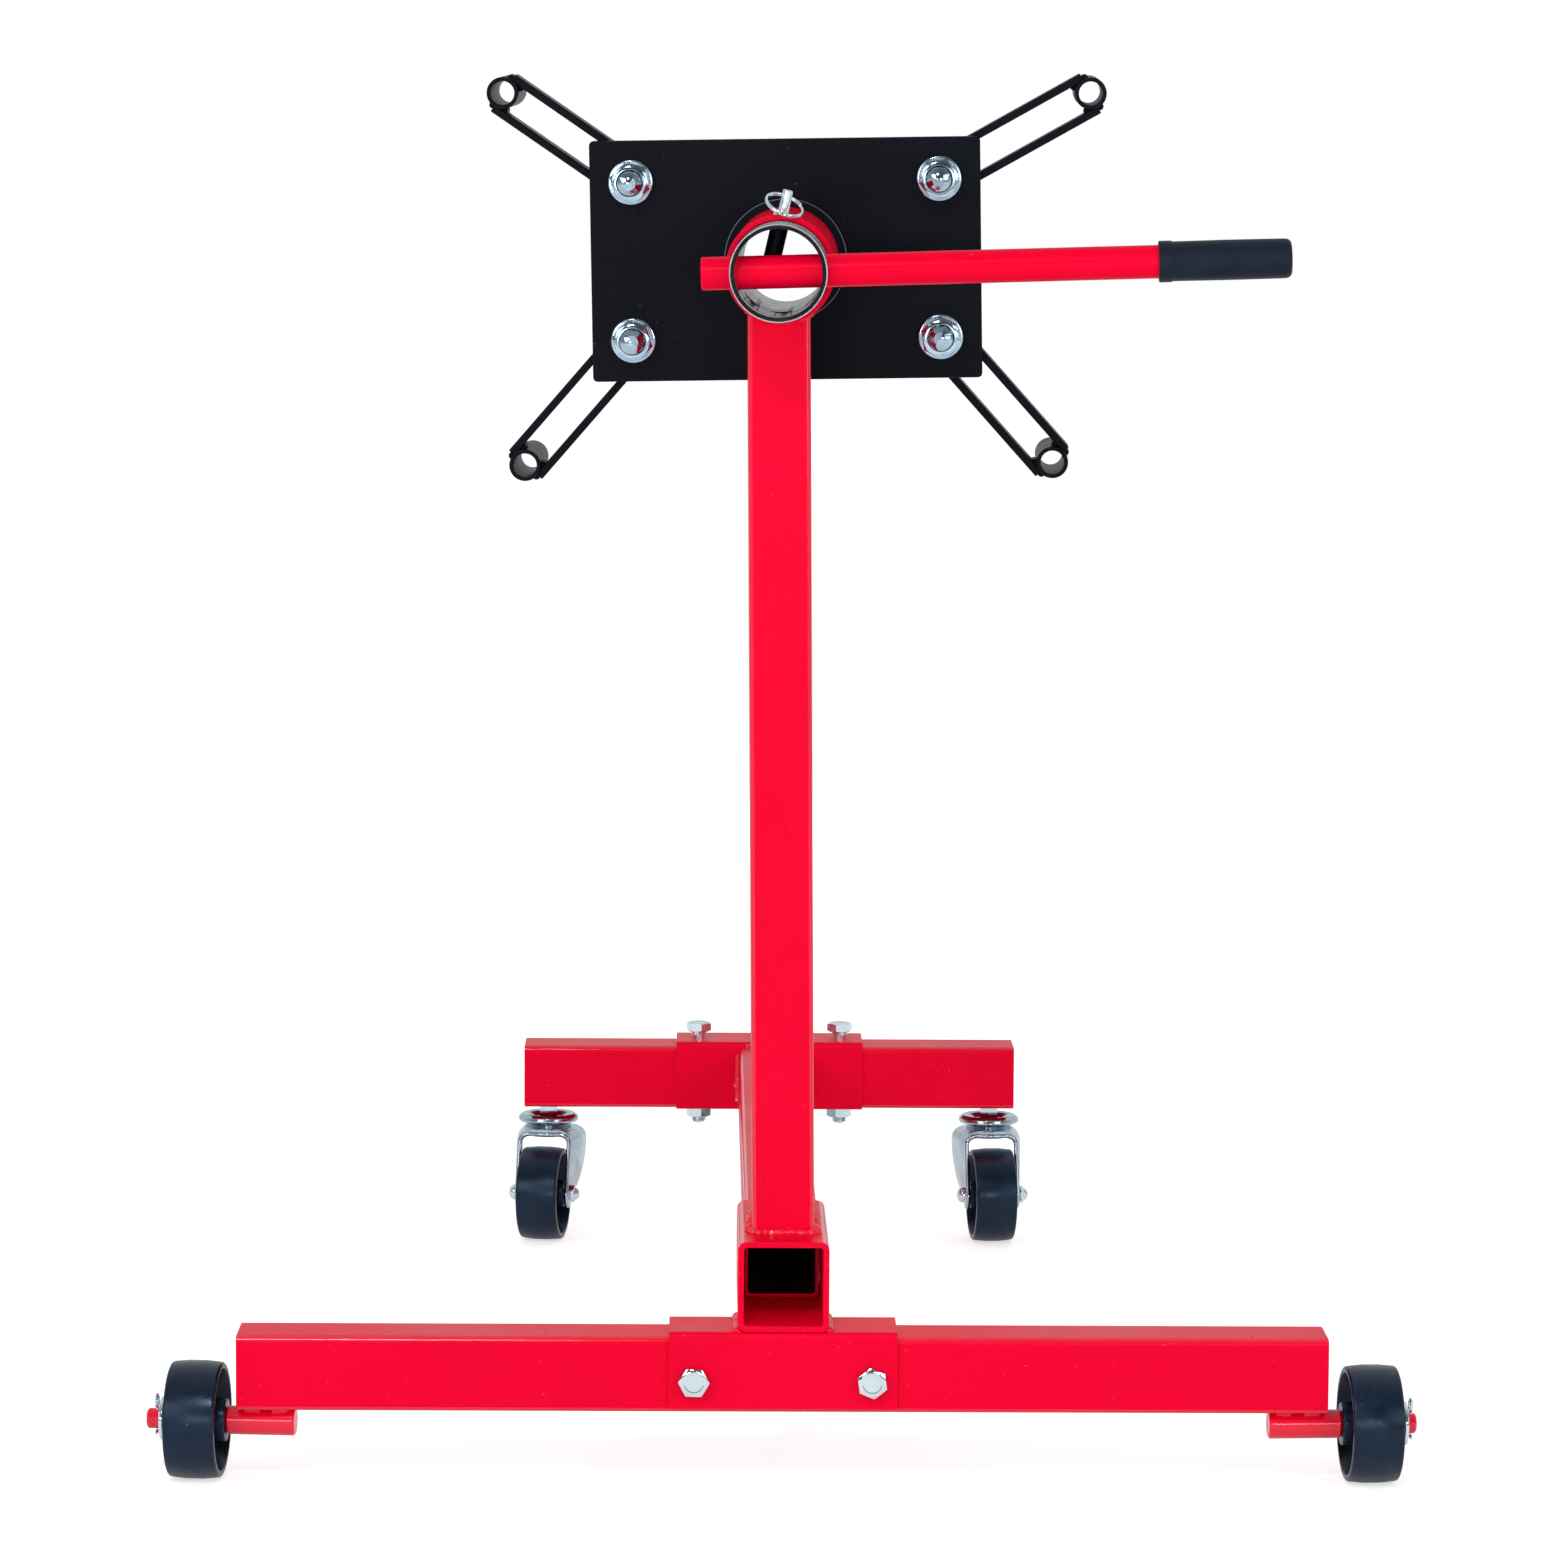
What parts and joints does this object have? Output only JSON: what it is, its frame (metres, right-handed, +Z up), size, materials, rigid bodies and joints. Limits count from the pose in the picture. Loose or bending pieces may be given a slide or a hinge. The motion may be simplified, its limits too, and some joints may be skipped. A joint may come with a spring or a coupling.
{
  "type": "engine stand",
  "caption": "T-based rolling engine stand of square tube with a post and a turning head whose slotted arms bolt to an engine block.",
  "frame": {"origin": "on the floor, at the centre of the bounding box seen from above", "axes": "+Z up, +Y from the front crossbar towards the engine and the casters, +X to the handle's side"},
  "size_m": [0.839, 1.0075, 0.927],
  "materials": {
    "red_paint": "gloss red enamel",
    "black_paint": "satin black enamel",
    "zinc_plate": "bright zinc plate",
    "bare_steel": "bare machined steel",
    "wheel_black": "moulded black",
    "grip_black": "soft blue-black grip"
  },
  "bodies": {
    "base": {"axle_left": "red_paint", "axle_right": "red_paint", "beam_lock_bolt": "zinc_plate", "caster_left_cap": "zinc_plate", "caster_left_stem": "zinc_plate", "caster_right_cap": "zinc_plate", "caster_right_stem": "zinc_plate", "cotter_pin_left": "zinc_plate", "cotter_pin_right": "zinc_plate", "front_saddle": "red_paint", "front_saddle_bolt_left": "zinc_plate", "front_saddle_bolt_right": "zinc_plate", "front_saddle_nut_left": "zinc_plate", "front_saddle_nut_right": "zinc_plate", "long_crossbar": "red_paint", "main_beam": "red_paint", "pivot_collar": "red_paint", "post": "red_paint", "rear_saddle": "red_paint", "rear_saddle_bolt_left": "zinc_plate", "rear_saddle_bolt_right": "zinc_plate", "rear_saddle_nut_left": "zinc_plate", "rear_saddle_nut_right": "zinc_plate", "short_crossbar": "red_paint", "socket_tube": "red_paint", "wheel_washer_left": "zinc_plate", "wheel_washer_right": "zinc_plate"},
    "front_wheel_left": {"front_wheel_left": "wheel_black"},
    "front_wheel_right": {"front_wheel_right": "wheel_black"},
    "caster_left": {"caster_left_fork": "zinc_plate", "caster_left_axle": "zinc_plate", "caster_left_nut": "zinc_plate"},
    "caster_left_wheel": {"caster_left_wheel": "wheel_black"},
    "caster_right": {"caster_right_fork": "zinc_plate", "caster_right_axle": "zinc_plate", "caster_right_nut": "zinc_plate"},
    "caster_right_wheel": {"caster_right_wheel": "wheel_black"},
    "head": {"rotating_pipe": "bare_steel", "plate_flange": "black_paint", "mounting_plate": "black_paint"},
    "handle": {"handle_bar": "red_paint", "handle_grip": "grip_black"},
    "lock_pin": {"lock_pin": "zinc_plate"},
    "lock_ring": {"lock_ring": "zinc_plate"},
    "arm_clamp_upper_left": {"arm_bolt_upper_left": "zinc_plate", "arm_nut_upper_left": "zinc_plate", "arm_washer_upper_left": "zinc_plate"},
    "arm_upper_left": {"arm_upper_left": "black_paint"},
    "arm_clamp_upper_right": {"arm_bolt_upper_right": "zinc_plate", "arm_nut_upper_right": "zinc_plate", "arm_washer_upper_right": "zinc_plate"},
    "arm_upper_right": {"arm_upper_right": "black_paint"},
    "arm_clamp_lower_left": {"arm_bolt_lower_left": "zinc_plate", "arm_nut_lower_left": "zinc_plate", "arm_washer_lower_left": "zinc_plate"},
    "arm_lower_left": {"arm_lower_left": "black_paint"},
    "arm_clamp_lower_right": {"arm_bolt_lower_right": "zinc_plate", "arm_nut_lower_right": "zinc_plate", "arm_washer_lower_right": "zinc_plate"},
    "arm_lower_right": {"arm_lower_right": "black_paint"}
  },
  "joints": [
    {"name": "front_wheel_left_spin", "type": "hinge", "parent": "base", "child": "front_wheel_left", "pos_m": [-0.38614, -0.42941, 0.039], "axis": [0.9962, -0.0872, 0], "continuous": true},
    {"name": "front_wheel_right_spin", "type": "hinge", "parent": "base", "child": "front_wheel_right", "pos_m": [0.38917, -0.43071, 0.039], "axis": [0.9984, 0.0558, 0], "continuous": true},
    {"name": "caster_left_swivel", "type": "hinge", "parent": "base", "child": "caster_left", "pos_m": [-0.1785, 0.47452, 0], "axis": [0, 0, 1], "continuous": true},
    {"name": "caster_left_spin", "type": "hinge", "parent": "caster_left", "child": "caster_left_wheel", "pos_m": [-0.18194, 0.4528, 0.0375], "axis": [0.9877, -0.1564, 0], "continuous": true},
    {"name": "caster_right_swivel", "type": "hinge", "parent": "base", "child": "caster_right", "pos_m": [0.1785, 0.47452, 0], "axis": [0, 0, 1], "continuous": true},
    {"name": "caster_right_spin", "type": "hinge", "parent": "caster_right", "child": "caster_right_wheel", "pos_m": [0.18042, 0.45261, 0.0375], "axis": [0.9962, 0.0872, 0], "continuous": true},
    {"name": "head_turn", "type": "hinge", "parent": "base", "child": "head", "pos_m": [-0.00327, -0.38078, 0.8], "axis": [0.0401, 0.9986, 0.0349], "continuous": true},
    {"name": "handle_slide", "type": "slide", "parent": "head", "child": "handle", "axis": [0.9986, -0.0413, 0.0331], "range_m": [-0.2, 0.015]},
    {"name": "lock_pin_slide", "type": "slide", "parent": "base", "child": "lock_pin", "axis": [-0.2234, 0.043, -0.9738], "range_m": [0, 0.008]},
    {"name": "lock_ring_swing", "type": "hinge", "parent": "lock_pin", "child": "lock_ring", "pos_m": [-0.00228, -0.44144, 0.84422], "axis": [-0.9739, 0.0313, 0.2248], "range_deg": [0, 22]},
    {"name": "arm_upper_left_swing", "type": "hinge", "parent": "head", "child": "arm_clamp_upper_left", "pos_m": [-0.10674, -0.37839, 0.85049], "axis": [0.0401, 0.9986, 0.0349], "range_deg": [-20, 20]},
    {"name": "arm_upper_left_slide", "type": "slide", "parent": "arm_clamp_upper_left", "child": "arm_upper_left", "axis": [-0.8272, 0.0136, 0.5617], "range_m": [-0.008, 0.02]},
    {"name": "arm_upper_right_swing", "type": "hinge", "parent": "head", "child": "arm_clamp_upper_right", "pos_m": [0.09805, -0.38675, 0.85442], "axis": [0.0401, 0.9986, 0.0349], "range_deg": [-20, 20]},
    {"name": "arm_upper_right_slide", "type": "slide", "parent": "arm_clamp_upper_right", "child": "arm_upper_right", "axis": [0.8698, -0.0521, 0.4906], "range_m": [-0.008, 0.02]},
    {"name": "arm_lower_left_swing", "type": "hinge", "parent": "head", "child": "arm_clamp_lower_left", "pos_m": [-0.10458, -0.3748, 0.74557], "axis": [0.0401, 0.9986, 0.0349], "range_deg": [-20, 20]},
    {"name": "arm_lower_left_slide", "type": "slide", "parent": "arm_clamp_lower_left", "child": "arm_lower_left", "axis": [-0.6518, 0.0526, -0.7565], "range_m": [-0.008, 0.02]},
    {"name": "arm_lower_right_swing", "type": "hinge", "parent": "head", "child": "arm_clamp_lower_right", "pos_m": [0.10021, -0.38317, 0.74951], "axis": [0.0401, 0.9986, 0.0349], "range_deg": [-20, 20]},
    {"name": "arm_lower_right_slide", "type": "slide", "parent": "arm_clamp_lower_right", "child": "arm_lower_right", "axis": [0.6683, -0.0008, -0.7439], "range_m": [-0.008, 0.02]}
  ],
  "couplings": [
    {"joint": "lock_ring_swing", "follows": "lock_pin_slide", "rad_per_m": 47.997}
  ]
}
